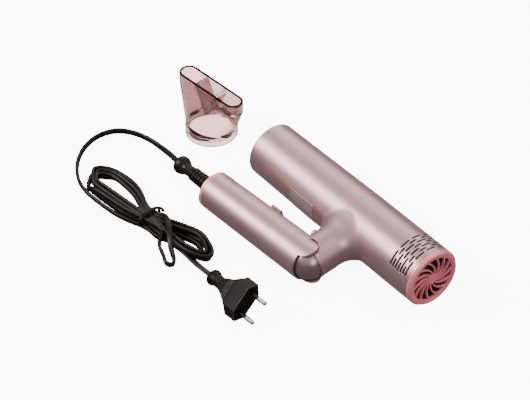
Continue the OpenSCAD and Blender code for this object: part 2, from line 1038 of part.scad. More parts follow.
module plug_pins() {
    color("silver")
        plug()
            for (s = [-1, 1])
                translate([s * pin_gap / 2, 0, 0])
                    along_y(-pin_len) {
                        translate([0, 0, 1])
                            cylinder(r = 2, h = 7.9, $fn = 32);
                        cylinder(r1 = 1.3, r2 = 2, h = 1.02, $fn = 32);
                        translate([0, 0, 8])
                            cylinder(r = 1.48, h = 17, $fn = 32);
                    }
}

// ---------- nozzle ----------

module nozzle_place() {
    on_floor()
        translate([-5.9, front_len + nozzle_gap, 0])
            rotate([0, 0, nozzle_turn])
                children();
}

// Slot outline: two round ends joined, long along Y.
module slot_plate(z, shrink, h) {
    for (s = [-1, 1])
        translate([0, s * (slot_len - slot_w) / 2, z])
            cylinder(r = slot_w / 2 - shrink, h = h, $fn = 32);
}

module nozzle_funnel(shrink, z0, z1) {
    hull() {
        translate([0, 0, z0])
            cylinder(r = collar_r - 1 - shrink, h = 0.1, $fn = 48);
        slot_plate(z1 - 10, shrink, 10);
    }
}

module nozzle_shell() {
    collar_h = 8;
    thick = 1.3;
    color(smoky)
        nozzle_place()
            difference() {
                union() {
                    cylinder(r = collar_r, h = collar_h);
                    nozzle_funnel(0, collar_h - 1, nozzle_h);
                }
                translate([0, 0, -1])
                    cylinder(r = collar_r - thick - 0.4, h = collar_h + 0.5);
                nozzle_funnel(thick, collar_h - 1.05, nozzle_h + 1);
            }
}

// Wedge in the middle of the slot that parts the air stream.
module nozzle_divider() {
    color(smoky)
        nozzle_place()
            rotate([90, 0, 90])
                translate([0, 0, -slot_w / 2 + 1.6])
                    linear_extrude(slot_w - 3.2)
                        difference() {
                            polygon([[0, 20], [13.5, nozzle_h - 1], [-13.5, nozzle_h - 1]]);
                            polygon([[0, 24.4], [10.9, nozzle_h + 1], [-10.9, nozzle_h + 1]]);
                        }
}

rear_body();
front_tube();
seam_ring();
barrel_screws();
label_plate();
intake_ring();
intake_grille();
filter_mesh();
motor_shroud();
motor();
fan_impeller();
heater_sleeve();
heater_frame();
heater_coils();
thermal_cutout();
ion_module();
outlet_grille();
cool_shot_button();
button_spring();
cool_shot_switch();
hinge_knuckle();
knuckle_screws();
hinge_washers();
hinge_pin();
handle_tube();
hinge_cap();
switch_slider();
slide_switch();
control_board();
handle_screws();
end_ring();
end_cap();
cord_clamp();
strain_relief();
power_cord();
cord_hank();
cord_tie();
plug_tail();
plug_body();
plug_sleeves();
plug_pins();
nozzle_shell();
nozzle_divider();
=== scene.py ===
"""Looks of the folding travel hair dryer: its cord, its fine surfaces, the light and the camera."""
import json
import math

import bmesh
import bpy
from mathutils import Matrix, Vector


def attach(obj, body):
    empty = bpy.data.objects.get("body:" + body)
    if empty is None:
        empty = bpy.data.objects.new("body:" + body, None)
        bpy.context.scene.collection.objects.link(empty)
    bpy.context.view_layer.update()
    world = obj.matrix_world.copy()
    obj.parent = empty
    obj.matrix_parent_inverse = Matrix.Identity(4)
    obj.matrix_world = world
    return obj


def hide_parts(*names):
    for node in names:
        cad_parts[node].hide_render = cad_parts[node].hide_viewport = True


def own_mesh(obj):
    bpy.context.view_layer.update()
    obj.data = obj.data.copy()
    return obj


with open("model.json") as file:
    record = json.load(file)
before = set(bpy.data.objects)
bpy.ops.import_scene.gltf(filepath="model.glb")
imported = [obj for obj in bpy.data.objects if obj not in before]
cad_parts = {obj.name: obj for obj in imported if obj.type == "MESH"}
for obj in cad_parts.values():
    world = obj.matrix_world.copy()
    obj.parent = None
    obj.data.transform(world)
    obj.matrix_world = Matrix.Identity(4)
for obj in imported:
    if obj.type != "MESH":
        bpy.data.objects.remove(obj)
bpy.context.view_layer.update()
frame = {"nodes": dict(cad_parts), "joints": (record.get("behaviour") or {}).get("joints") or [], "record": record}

NODES = frame["nodes"]
MM = 0.001

# ---------- places that part.scad settles, in millimetres ----------

# Crossing of the barrel's and the neck's centrelines, over the surface.
FAN = {j["name"]: j for j in frame["joints"]}["fan_spin"]
AXIS_X = FAN["pos_m"][0] / MM
AXIS_Y = FAN["pos_m"][1] / MM + 65
BARREL_R = 25.5
NECK_R = 16.75
LEAN = math.radians(7.784)
FLARE = 2.6
FLARE_TO = -33
FLARE_LEN = 9
LABEL_FROM = 36
LABEL_TO = 66
LABEL_W = 20.4
FRONT_LEN = 120.4
TAPER_FROM = 5
TAPER = 1.5
NOZZLE_X = 21.384
NOZZLE_Y = 122.248
NOZZLE_H = 48
SLOT_L = 72
SLOT_W = 17
NOZZLE_TURN = math.radians(4.8)
COLLAR_BORE_R = 20.6

# Place and tilt of the plug, and half the width, flats and thickness of its six-sided face.
PLUG_AT = Vector((-126.1, -5.5, 14.595))
PLUG_TILT = (-42.8, -9.4, -4.2)
PLUG_W, PLUG_FLAT, PLUG_T = 17.65, 10.9, 6.86

# Flat two-core cord: its width and thickness.
CORD_W = 5.2
CORD_T = 3.4

# The cord's route over the surface. Roll is 0 where it stands on edge and 90 where it lies flat.
LEAD_OUT = [(-60.6, 166.9, 10.2), (-59.7, 175, 9), (-58.1, 183, 7.2), (-56.7, 191.5, 5.2),
            (-55.9, 200, 3.5), (-55.9, 208, 2.8), (-57.2, 217, 2.7), (-60.2, 227, 2.7),
            (-65.5, 236.5, 2.7), (-72.5, 243, 2.7), (-81, 246, 2.7), (-90.5, 246.5, 2.7),
            (-100.5, 244, 2.7), (-110.5, 239, 2.7), (-119.5, 232, 2.7), (-127, 223.5, 2.7),
            (-133, 214, 2.9), (-136.5, 206, 3.4), (-138.4, 199.6, 4)]
LEAD_IN = [(-122.5, 67.5, 5.2), (-122.6, 62, 5.3), (-122.5, 56, 5.4), (-122.4, 51, 5.6),
           (-122.3, 46.5, 6), (-122.6, 41.9, 6.7)]

# Outline of the bundle: x and y of its edge, then how far each further turn inside it lies.
DOWN_LEFT = [(-143, 185, 5.8, 0), (-137.5, 153, 4.6, 0), (-129.5, 127, 3.3, 0),
             (-128, 110, 3.2, 0)]
ROUND_BOTTOM = [(-127, 95, 3.3, 0), (-124.7, 78, 3.4, 0.5), (-119.5, 64, 2.6, 2.6),
                (-111, 57, 0, 3.8), (-102.5, 62, -2.6, 3), (-97.2, 76, -3.4, 1),
                (-97, 90, -3.4, 0), (-106, 112, -3.3, 0)]
UP_RIGHT = [(-109.5, 127, -3.3, 0), (-111.5, 140, -3.3, 0), (-106, 157, -3.5, 0),
            (-102.7, 172, -3.8, 0), (-103.4, 191, -3.8, -1), (-109.5, 204, -2.8, -3.4),
            (-120.5, 211, 0, -4.2), (-132, 208, 2.6, -3.4), (-140.5, 199, 4.6, -1.6)]

# Each turn's place in the bundle: how far inwards on the left, at the bottom and on the right,
# then its layer.
TURNS = [(0.0, 2.5, 1.1, 0), (1.0, 1.2, 0.1, 0), (0.9, 0.0, 0.2, 1), (1.7, 0.5, 1.2, 1),
         (2.4, 1.6, 2.1, 1)]
LAST_LEFT = 2.0
LAYER_Z = (3.3, 8.6)

# One turn comes out in a small loose fold that crosses over the rest: x, y, z, roll.
FOLD_TURN = 2
LOOSE_FOLD = [(-132.6, 101, 6, 10), (-136.4, 90, 4, 0),
              (-140.4, 81, 3.5, 0), (-137.4, 75.8, 3.6, 0), (-133.2, 79.5, 4.6, 10),
              (-129.6, 88.5, 8, 40), (-122.8, 99.5, 12.2, 75), (-116.6, 108.5, 13.6, 85),
              (-113.6, 115.5, 13.4, 75), (-112, 121.5, 11.2, 40)]


def floor_point(x, y, z):
    """Point measured from the crossing of the centrelines, in millimetres, to the row frame in metres."""
    return Vector(((AXIS_X + x) * MM, (AXIS_Y + y) * MM, z * MM))


# ---------- mesh helpers ----------

def bridge(build, ring, after, closed=True, smooth=False):
    """Faces between two rows of points, all the way round if closed."""
    count = len(ring)
    for i in range(count if closed else count - 1):
        k = (i + 1) % count
        face = build.faces.new((ring[i], ring[k], after[k], after[i]))
        face.smooth = smooth


def face_outwards(build, smooth=False):
    """Turns all faces outwards, and shades them smooth if wanted."""
    bmesh.ops.recalc_face_normals(build, faces=build.faces)
    if smooth:
        for face in build.faces:
            face.smooth = True


def add_mesh(name, build, material):
    """Object made of a finished bmesh and one material."""
    mesh = bpy.data.meshes.new(name)
    build.to_mesh(mesh)
    build.free()
    mesh.materials.append(material)
    obj = bpy.data.objects.new(name, mesh)
    bpy.context.scene.collection.objects.link(obj)
    return obj


# ---------- camera ----------

def make_camera():
    azimuth = math.radians(-40.19)
    elevation = math.radians(40.85)
    distance = 2.3118
    aim_left, aim_down = 0.0232, 0.00178
    target = Vector((AXIS_X * MM, (AXIS_Y + 43) * MM, BARREL_R * MM))
    forward = Vector((-math.sin(azimuth) * math.cos(elevation),
                      math.cos(azimuth) * math.cos(elevation), -math.sin(elevation)))
    right = Vector((math.cos(azimuth), math.sin(azimuth), 0))
    up = right.cross(forward)
    data = bpy.data.cameras.new("camera")
    data.sensor_width = 36
    data.lens = 191.84
    camera = bpy.data.objects.new("camera", data)
    bpy.context.scene.collection.objects.link(camera)
    camera.location = target - forward * distance
    aim = forward - aim_left * right - aim_down * up
    camera.rotation_euler = aim.to_track_quat("-Z", "Y").to_euler()
    bpy.context.scene.camera = camera


# ---------- cord ----------

def spline(points, steps=10):
    """Catmull-Rom curve through points of any number of values."""
    points = [points[0], *points, points[-1]]
    out = []
    for a, b, c, d in zip(points, points[1:], points[2:], points[3:]):
        for i in range(steps):
            t = i / steps
            out.append(tuple(0.5 * (2 * q + (r - p) * t + (2 * p - 5 * q + 4 * r - u) * t * t
                                    + (3 * q - p - 3 * r + u) * t ** 3)
                             for p, q, r, u in zip(a, b, c, d)))
    out.append(tuple(points[-1]))
    return out


def softened(points, rounds):
    """The same points with their corners eased; the two ends stay."""
    for _ in range(rounds):
        inner = [tuple((p + 2 * q + r) / 4 for p, q, r in zip(*near))
                 for near in zip(points, points[1:], points[2:])]
        points = [points[0], *inner, points[-1]]
    return points


def evenly(points, step):
    """Points this far apart along the line through points, whose first three values are places."""
    out = [points[0]]
    left = step
    for a, b in zip(points, points[1:]):
        gap = math.dist(a[:3], b[:3])
        while gap > 0 and left <= gap:
            share = left / gap
            out.append(tuple(p + (q - p) * share for p, q in zip(a, b)))
            left += step
        left -= gap
    return out


def inside_edge(row, ring, z, roll, sway):
    """Centre of a turn that lies ring turns inside the bundle's edge."""
    x, y, dx, dy = row
    return (x + dx * (ring + 0.5) + 0.7 * math.sin(sway + y / 9),
            y + dy * (ring + 0.5), z + 0.35 * math.sin(2 * sway + y / 13), roll)


def hank_route():
    """The turns of the bundle one after the other."""
    route = []
    for turn, (left, bottom, right, layer) in enumerate(TURNS):
        z = LAYER_Z[layer]
        roll = 14 * math.sin(2.3 * turn + 1)
        route += [inside_edge(row, left, z, roll, turn) for row in DOWN_LEFT]
        if turn == FOLD_TURN:
            route += LOOSE_FOLD
        else:
            route += [inside_edge(row, bottom, z, roll, turn) for row in ROUND_BOTTOM]
        route += [inside_edge(row, right, z, roll, turn) for row in UP_RIGHT[:-2]]
        after = TURNS[turn + 1][0] if turn + 1 < len(TURNS) else LAST_LEFT
        route += [inside_edge(row, after, z, roll, turn) for row in UP_RIGHT[-2:]]
    route += [inside_edge(row, LAST_LEFT, LAYER_Z[0], 20, 5) for row in DOWN_LEFT]
    return route


def cord_route():
    """Centres and rolls of the whole cord from the strain relief to the plug."""
    rolls = [75, 60, 45, 32, 22, 14, 10] + [8] * (len(LEAD_OUT) - 7)
    start = [(x, y, z, roll) for (x, y, z), roll in zip(LEAD_OUT, rolls)]
    end = [(x, y, z, 82) for x, y, z in LEAD_IN]
    route = evenly(softened(evenly(spline(start + hank_route() + end), 1.5), 4), 2.2)
    return [(x, y, max(z, CORD_W / 2 + 0.1), roll) for x, y, z, roll in route]


def flex_section(corners=20):
    """Outline of the flat flex: across its width, then across its thickness."""
    out = []
    for i in range(corners):
        turn = 2 * math.pi * i / corners
        x = CORD_W / 2 * math.cos(turn)
        waist = 1 - 0.2 * math.exp(-(x / 0.75) ** 2)
        rim = math.copysign(abs(math.sin(turn)) ** 0.8, math.sin(turn))
        out.append((x, CORD_T / 2 * rim * waist))
    return out


def tube(name, centres, rolls, section, material):
    """Mesh with this section, in millimetres, swept along centres, in metres."""
    build = bmesh.new()
    rings = []
    for i, centre in enumerate(centres):
        ahead = centres[min(i + 1, len(centres) - 1)] - centres[max(i - 1, 0)]
        ahead.normalize()
        aside = ahead.cross(Vector((0, 0, 1))).normalized()
        upright = aside.cross(ahead)
        roll = math.radians(rolls[i])
        wide = upright * math.cos(roll) + aside * math.sin(roll)
        thin = ahead.cross(wide)
        rings.append([build.verts.new(centre + (wide * x + thin * y) * MM) for x, y in section])
    for ring, after in zip(rings, rings[1:]):
        bridge(build, ring, after)
    build.faces.new(rings[0][::-1])
    build.faces.new(rings[-1])
    face_outwards(build, smooth=True)
    return add_mesh(name, build, material)


def make_cord(materials):
    route = cord_route()
    centres = [floor_point(*point[:3]) for point in route]
    flex = tube("flex", centres, [point[3] for point in route], flex_section(),
                materials["cord_rubber"])
    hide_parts("power_cord", "cord_hank", "plug_tail")
    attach(flex, "handle")
    tie = make_tie(materials)
    ribs = make_plug_ribs(materials)


def make_tie(materials):
    """Soft tie round the middle of the bundle, its two ends twisted together on the right."""
    half_w, half_h, band = 11.2, 6.2, 1.1
    middle = (-119.2, 132, 6.75)
    ring = []
    for i in range(49):
        turn = 2 * math.pi * i / 48
        x = math.copysign(abs(math.cos(turn)) ** 0.75, math.cos(turn)) * half_w
        z = math.copysign(abs(math.sin(turn)) ** 0.75, math.sin(turn)) * half_h
        ring.append(floor_point(middle[0] + x, middle[1] + 0.12 * x, middle[2] + z))
    ends = [floor_point(middle[0] + half_w - 1.5 + 2.6 * math.sin(t), middle[1] - 1.2 * t,
                        middle[2] + 3 + 1.6 * math.cos(t)) for t in [i * 0.2 for i in range(13)]]
    section = [(1.7 * math.cos(t), band * math.sin(t)) for t in [i * math.pi / 6 for i in range(12)]]
    tie = band_mesh("tie_band", [ring, ends], section, materials["tie"])
    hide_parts("cord_tie")
    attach(tie, "handle")
    return tie


def band_mesh(name, lines, section, material):
    """Strips along several lines in one mesh, their width along the row's Y."""
    build = bmesh.new()
    for line in lines:
        rings = []
        for i, centre in enumerate(line):
            ahead = (line[min(i + 1, len(line) - 1)] - line[max(i - 1, 0)]).normalized()
            out = ahead.cross(Vector((0, 1, 0))).normalized()
            wide = out.cross(ahead)
            rings.append([build.verts.new(centre + (wide * x + out * y) * MM) for x, y in section])
        for ring, after in zip(rings, rings[1:]):
            bridge(build, ring, after)
        build.faces.new(rings[0][::-1])
        build.faces.new(rings[-1])
    face_outwards(build, smooth=True)
    return add_mesh(name, build, material)


# ---------- material helpers ----------

class Material:
    """A node material with one Principled shader."""

    def __init__(self, name, colour, roughness, metallic=0.0, **sockets):
        self.material = bpy.data.materials.new(name)
        self.material.use_nodes = True
        self.nodes = self.material.node_tree.nodes
        self.links = self.material.node_tree.links
        self.shader = self.nodes["Principled BSDF"]
        self.shader.inputs["Base Color"].default_value = (*colour, 1)
        self.shader.inputs["Roughness"].default_value = roughness
        self.shader.inputs["Metallic"].default_value = metallic
        for socket, value in sockets.items():
            self.shader.inputs[socket.replace("_", " ")].default_value = value
        self.place = self.nodes.new("ShaderNodeTexCoord").outputs["Object"]
        self.height = None

    def noise(self, scale, detail=4, roughness=0.55, stretch=None):
        """Noise in the object's own place, per metre, stretched along an axis if wanted."""
        source = self.place
        if stretch:
            mapping = self.nodes.new("ShaderNodeMapping")
            mapping.inputs["Scale"].default_value = stretch
            self.links.new(self.place, mapping.inputs["Vector"])
            source = mapping.outputs["Vector"]
        texture = self.nodes.new("ShaderNodeTexNoise")
        texture.inputs["Scale"].default_value = scale
        texture.inputs["Detail"].default_value = detail
        texture.inputs["Roughness"].default_value = roughness
        self.links.new(source, texture.inputs["Vector"])
        return texture.outputs["Fac"]

    def spread(self, source, low, high):
        """Source, which runs around 0.5, to a value from low to high."""
        ramp = self.nodes.new("ShaderNodeMapRange")
        ramp.inputs["From Min"].default_value = 0.3
        ramp.inputs["From Max"].default_value = 0.7
        ramp.inputs["To Min"].default_value = low
        ramp.inputs["To Max"].default_value = high
        self.links.new(source, ramp.inputs["Value"])
        return ramp.outputs["Result"]

    def vary_roughness(self, source, low, high):
        self.links.new(self.spread(source, low, high), self.shader.inputs["Roughness"])
        return self

    def vary_colour(self, source, dark, light):
        ramp = self.nodes.new("ShaderNodeValToRGB")
        ramp.color_ramp.elements[0].position = 0.32
        ramp.color_ramp.elements[0].color = (*dark, 1)
        ramp.color_ramp.elements[1].position = 0.68
        ramp.color_ramp.elements[1].color = (*light, 1)
        self.links.new(source, ramp.inputs["Fac"])
        self.links.new(ramp.outputs["Color"], self.shader.inputs["Base Color"])
        return self

    def rounded_edges(self, radius):
        """Normals that round off the sharp edges over this radius in metres."""
        node = self.nodes.new("ShaderNodeBevel")
        node.samples = 6
        node.inputs["Radius"].default_value = radius
        return node.outputs["Normal"]

    def bump(self, source, distance, strength=1.0):
        """Adds relief of this depth in metres."""
        node = self.nodes.new("ShaderNodeBump")
        node.inputs["Strength"].default_value = strength
        node.inputs["Distance"].default_value = distance
        self.links.new(source, node.inputs["Height"])
        if self.height:
            self.links.new(self.height, node.inputs["Normal"])
        self.height = node.outputs["Normal"]
        self.links.new(self.height, self.shader.inputs["Normal"])
        return self


# ---------- materials ----------

def metallic_paint(name, dark, light, roughness, metallic=0.8, grain=0.35):
    """Satin lacquer over fine metal flake, with softly rounded edges."""
    paint = Material(name, light, roughness, metallic=metallic, Coat_Weight=0.12, Coat_Roughness=0.3)
    flake = paint.noise(5200, detail=2)
    paint.vary_colour(flake, dark, light)
    paint.vary_roughness(paint.noise(180, detail=5), roughness - 0.03, roughness + 0.04)
    paint.height = paint.rounded_edges(0.00045)
    paint.bump(flake, 0.000006, grain)
    paint.bump(paint.noise(900, detail=3), 0.000010, 0.25)
    return paint.material


def moulded(name, dark, light, roughness, grain=2600, depth=0.00002, shine=0.5):
    """Moulded plastic or rubber with a fine grain and a little unevenness of tone."""
    plastic = Material(name, light, roughness, Specular_IOR_Level=shine)
    plastic.vary_colour(plastic.noise(140, detail=5), dark, light)
    plastic.vary_roughness(plastic.noise(420, detail=4), roughness - 0.05, roughness + 0.06)
    plastic.height = plastic.rounded_edges(0.0005)
    plastic.bump(plastic.noise(grain, detail=3), depth, 0.5)
    return plastic.material


def bright_metal(name, dark, light, roughness):
    """Turned or drawn metal, with fine marks along the row's Y."""
    metal = Material(name, light, roughness, metallic=1.0)
    marks = metal.noise(1800, detail=3, stretch=(1, 0.06, 1))
    metal.vary_colour(metal.noise(300, detail=4), dark, light)
    metal.vary_roughness(marks, roughness - 0.06, roughness + 0.08)
    metal.bump(marks, 0.000008, 0.4)
    return metal.material


def smoky_plastic(name):
    """See-through tinted plastic, denser where its wall is seen on edge."""
    clear = Material(name, SMOKE, 0.06, Transmission_Weight=0.96, IOR=1.46)
    clear.vary_roughness(clear.noise(260, detail=4), 0.03, 0.09)
    clear.bump(clear.noise(120, detail=3), 0.00003, 0.2)
    facing = clear.nodes.new("ShaderNodeLayerWeight")
    facing.inputs["Blend"].default_value = 0.35
    ramp = clear.nodes.new("ShaderNodeValToRGB")
    ramp.color_ramp.elements[0].position = 0.25
    ramp.color_ramp.elements[0].color = (*SMOKE, 1)
    ramp.color_ramp.elements[1].position = 0.8
    ramp.color_ramp.elements[1].color = (*SMOKE_EDGE, 1)
    clear.links.new(facing.outputs["Facing"], ramp.inputs["Fac"])
    clear.links.new(ramp.outputs["Color"], clear.shader.inputs["Base Color"])
    return clear.material


SMOKE = (0.27, 0.17, 0.165)
SMOKE_EDGE = (0.09, 0.045, 0.045)
DARK_SHINE = 0.14


def make_materials():
    return {
        "satin_rose": metallic_paint("satin_rose", (0.40, 0.235, 0.245), (0.50, 0.315, 0.325), 0.40),
        "rose_trim": metallic_paint("rose_trim", (0.84, 0.20, 0.23), (0.94, 0.29, 0.32), 0.34, 0.3),
        "switch_rose": metallic_paint("switch_rose", (0.30, 0.18, 0.19), (0.38, 0.24, 0.25), 0.42),
        "label": moulded("label", (0.19, 0.135, 0.14), (0.23, 0.165, 0.17), 0.5),
        "filter": moulded("filter", (0.006, 0.005, 0.005), (0.012, 0.010, 0.010),
                          0.7, shine=DARK_SHINE),
        "black_plastic": moulded("black_plastic", (0.003, 0.002, 0.002), (0.006, 0.004, 0.004),
                                 0.45, shine=0.1),
        "motor_metal": bright_metal("motor_metal", (0.42, 0.42, 0.43), (0.60, 0.60, 0.62), 0.34),
        "steel": bright_metal("steel", (0.48, 0.48, 0.49), (0.66, 0.66, 0.68), 0.28),
        "fan_plastic": moulded("fan_plastic", (0.010, 0.009, 0.009), (0.018, 0.016, 0.016),
                               0.45, shine=DARK_SHINE),
        "mica": moulded("mica", (0.50, 0.44, 0.30), (0.64, 0.57, 0.42), 0.55),
        "heating_wire": bright_metal("heating_wire", (0.20, 0.17, 0.15), (0.36, 0.32, 0.29), 0.45),
        "brass": bright_metal("brass", (0.55, 0.40, 0.16), (0.72, 0.55, 0.25), 0.30),
        "knuckle_plastic": metallic_paint("knuckle_plastic", (0.33, 0.21, 0.23), (0.36, 0.235, 0.255),
                                          0.3, grain=0.1),
        "washer_plastic": moulded("washer_plastic", (0.05, 0.045, 0.048), (0.08, 0.07, 0.074), 0.5),
        "board": moulded("board", (0.01, 0.08, 0.04), (0.02, 0.14, 0.07), 0.45),
        "cord_rubber": moulded("cord_rubber", (0.004, 0.002, 0.002), (0.011, 0.007, 0.007), 0.34, shine=0.16),
        "tie": moulded("tie", (0.003, 0.003, 0.003), (0.006, 0.005, 0.005), 0.35, shine=DARK_SHINE),
        "plug_plastic": moulded("plug_plastic", (0.004, 0.003, 0.003), (0.008, 0.005, 0.005),
                                0.42, shine=0.12),
        "sleeve_plastic": moulded("sleeve_plastic", (0.003, 0.003, 0.003), (0.006, 0.005, 0.005),
                                  0.4, shine=DARK_SHINE),
        "nickel": bright_metal("nickel", (0.66, 0.60, 0.55), (0.86, 0.80, 0.75), 0.22),
        "smoky_clear": smoky_plastic("smoky_clear"),
        # The gauze weave also dresses the vent sleeve, which is painted shade inside the slots.
        "gauze": woven("gauze"),
        "smoky_rim": moulded("smoky_rim", (0.003, 0.001, 0.001), (0.006, 0.002, 0.002), 0.5, shine=0.02),
        "smoky_line": moulded("smoky_line", (0.12, 0.055, 0.055), (0.18, 0.085, 0.085), 0.3),
        # Lighter black than the plug: painted highlight on the grip ribs and the rim of the plug's face.
        "plug_edge_highlight": moulded("plug_edge_highlight", (0.020, 0.015, 0.014), (0.034, 0.026, 0.024), 0.45),
        "label_edge": metallic_paint("label_edge", (0.46, 0.36, 0.36), (0.56, 0.45, 0.45), 0.35),
    }


def dress_nodes(materials):
    """Gives every CAD node the material of its slot."""
    for part in frame["record"]["subparts"]:
        mesh = NODES[part["node"]].data
        mesh.materials.clear()
        mesh.materials.append(materials[part["material_slot"]])


# ---------- neck fillet ----------

def dryer_point(x, y, z):
    """Point of the leaning dryer, measured in millimetres from the crossing of its centrelines."""
    return Vector(((AXIS_X + x * math.cos(LEAN) - z * math.sin(LEAN)) * MM, (AXIS_Y + y) * MM,
                   (BARREL_R + x * math.sin(LEAN) + z * math.cos(LEAN)) * MM))


def fillet_profile(turn, steps=14):
    """Smooth curve in one plane through the neck's centreline: x and distance from that line."""
    reach, neck_end, pull_in, pull_out = 5.5, -36, 3, 7
    foot_r = 19.4
    side = foot_r * math.sin(turn)
    slope = side * math.sin(turn) / math.sqrt(BARREL_R ** 2 - side ** 2)
    r = foot_r + reach / math.hypot(1, slope)
    x = -math.sqrt(BARREL_R ** 2 - (r * math.sin(turn)) ** 2)
    slope = r * math.sin(turn) ** 2 / -x
    away = math.hypot(1, slope)
    a = Vector((x, r))
    d = Vector((neck_end, NECK_R + 0.05))
    b = a - Vector((slope, 1)) * pull_in / away
    c = d + Vector((pull_out, 0))
    out = []
    for i in range(steps + 1):
        t = i / steps
        p = a * (1 - t) ** 3 + b * 3 * t * (1 - t) ** 2 + c * 3 * t * t * (1 - t) + d * t ** 3
        ease = 0.9 * math.sin(math.pi * t)
        under = flare_radius(p.x) + 0.05
        out.append((p.x, (p.y + under + math.hypot(p.y - under, ease)) / 2))
    return out


def flare_radius(x):
    """The CAD neck's own radius at x, with its flared root."""
    if x <= FLARE_TO:
        return NECK_R
    if x >= FLARE_TO + FLARE_LEN:
        return NECK_R + FLARE
    return NECK_R + FLARE * (1 - math.sin(math.acos((x - FLARE_TO) / FLARE_LEN)))


def make_neck_fillet(materials):
    """Skin that carries the neck smoothly into the barrel."""
    around = 96
    build = bmesh.new()
    rings = []
    for i in range(around):
        turn = 2 * math.pi * i / around
        rings.append([build.verts.new(dryer_point(x - 0.03, r * math.cos(turn), r * math.sin(turn)))
                      for x, r in fillet_profile(turn)])
    for i, ring in enumerate(rings):
        bridge(build, ring, rings[(i + 1) % around], closed=False, smooth=True)
    face_outwards(build)
    skin = add_mesh("neck_fillet", build, materials["satin_rose"])
    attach(skin, "root")


# ---------- label and nozzle edges ----------

def ring_line(name, points, width, height, material, body):
    """Closed flat strip along points: (place, outward direction across it, direction it rises in)."""
    build = bmesh.new()
    rings = []
    for place, across, rise in points:
        corners = [(-width, 0), (-width, height), (0, height), (0, 0)]
        rings.append([build.verts.new(place + (across * a + rise * b) * MM) for a, b in corners])
    for i, ring in enumerate(rings):
        bridge(build, ring, rings[(i + 1) % len(rings)])
    face_outwards(build)
    strip = add_mesh(name, build, material)
    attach(strip, body)


def make_nozzle_rim(materials):
    """Dense edge of the see-through wall round the slot."""
    long_half, wide_half = SLOT_L / 2, SLOT_W / 2
    points = []
    for i in range(64):
        turn = 2 * math.pi * i / 64
        side = 1 if math.sin(turn) >= 0 else -1
        across = Vector((math.cos(turn), math.sin(turn)))
        place = across * wide_half + Vector((0, side * (long_half - wide_half)))
        points.append((nozzle_point(place.x, place.y, NOZZLE_H), nozzle_direction(*across),
                       Vector((0, 0, 1))))
    ring_line("nozzle_rim", points, 2.0, 0.5, materials["smoky_rim"], "nozzle")


def nozzle_point(x, y, z):
    c, s = math.cos(NOZZLE_TURN), math.sin(NOZZLE_TURN)
    return Vector(((NOZZLE_X + x * c - y * s) * MM, (NOZZLE_Y + x * s + y * c) * MM, z * MM))


def nozzle_direction(x, y):
    c, s = math.cos(NOZZLE_TURN), math.sin(NOZZLE_TURN)
    return Vector((x * c - y * s, x * s + y * c, 0))


# ---------- fine gauze, and painted shade in the side vents ---

def make_gauze_and_vent_shade(materials):
    """Close-woven gauze behind the filter, and a black sleeve of the same weave inside the side vents as painted
    shade that makes the slots read dark.
    """
    disc_at, disc_r, shade_sleeve_r = -82.6, 20.9, 23.1
    ends = [(-57.5, shade_sleeve_r), (-78.2, shade_sleeve_r)]
    round_axis("filter_gauze", [(disc_at, 0.4), (disc_at, disc_r)], materials["gauze"],
               "intake_cap")
    # Black sleeve inside the side vents: painted shade that makes the slots read dark.
    round_axis("vent_shade_sleeve", ends, materials["gauze"], "root")


def round_axis(name, profile, material, body, around=72):
    """Thin skin turned about the barrel's centreline: profile of y and radius."""
    build = bmesh.new()
    rings = []
    for i in range(around):
        turn = 2 * math.pi * i / around
        rings.append([build.verts.new(dryer_point(r * math.cos(turn), y, r * math.sin(turn)))
                      for y, r in profile])
    for i, ring in enumerate(rings):
        bridge(build, ring, rings[(i + 1) % around], closed=False, smooth=True)
    skin = add_mesh(name, build, material)
    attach(skin, body)


def woven(name):
    """Black gauze with a fine square weave; on the vent sleeve it serves as painted shade."""
    cloth = Material(name, (0.006, 0.005, 0.005), 0.7, Specular_IOR_Level=DARK_SHINE)
    for direction in ("X", "Z"):
        wave = cloth.nodes.new("ShaderNodeTexWave")
        wave.bands_direction = direction
        wave.inputs["Scale"].default_value = 260
        cloth.links.new(cloth.place, wave.inputs["Vector"])
        cloth.bump(wave.outputs["Fac"], 0.0001, 0.6)
    cloth.vary_colour(cloth.noise(300), (0.004, 0.003, 0.003), (0.010, 0.008, 0.008))
    return cloth.material


# ---------- label ----------

def make_label_border(materials):
    """Raised pale border round the blank rating plate."""
    edge, rise = 0.9, 0.25
    half = LABEL_W / 2
    corners = [(LABEL_FROM, -half), (LABEL_TO, -half), (LABEL_TO, half), (LABEL_FROM, half)]
    outline = []
    for (y0, z0), (y1, z1) in zip(corners, corners[1:] + corners[:1]):
        for i in range(12):
            outline.append((y0 + (y1 - y0) * i / 12, z0 + (z1 - z0) * i / 12))
    build = bmesh.new()
    middle = (LABEL_FROM + LABEL_TO) / 2
    near_end = (LABEL_TO - LABEL_FROM) / 2 - 0.1
    rings = []
    for y, z in outline:
        inner_y = y - math.copysign(edge, y - middle) if abs(y - middle) > near_end else y
        inner_z = z - math.copysign(edge, z) if abs(z) > half - 0.01 else z
        inner_z = max(-half + edge, min(half - edge, inner_z))
        inner_y = max(LABEL_FROM + edge, min(LABEL_TO - edge, inner_y))
        rings.append([build.verts.new(on_front_tube(a, b, h)) for a, b, h in
                      [(y, z, 0.05), (y, z, rise), (inner_y, inner_z, rise), (inner_y, inner_z, 0.05)]])
    for i, ring in enumerate(rings):
        bridge(build, ring, rings[(i + 1) % len(rings)], closed=False)
    face_outwards(build)
    border = add_mesh("label_border", build, materials["label_edge"])
    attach(border, "root")


def on_front_tube(y, z, height):
    """Point on the front tube's handle side, this high over its surface."""
    radius = BARREL_R - TAPER * (y - TAPER_FROM) / (FRONT_LEN - TAPER_FROM) + height
    return dryer_point(-math.sqrt(radius ** 2 - z ** 2), y, z)


# ---------- plug, spring and collar ----------

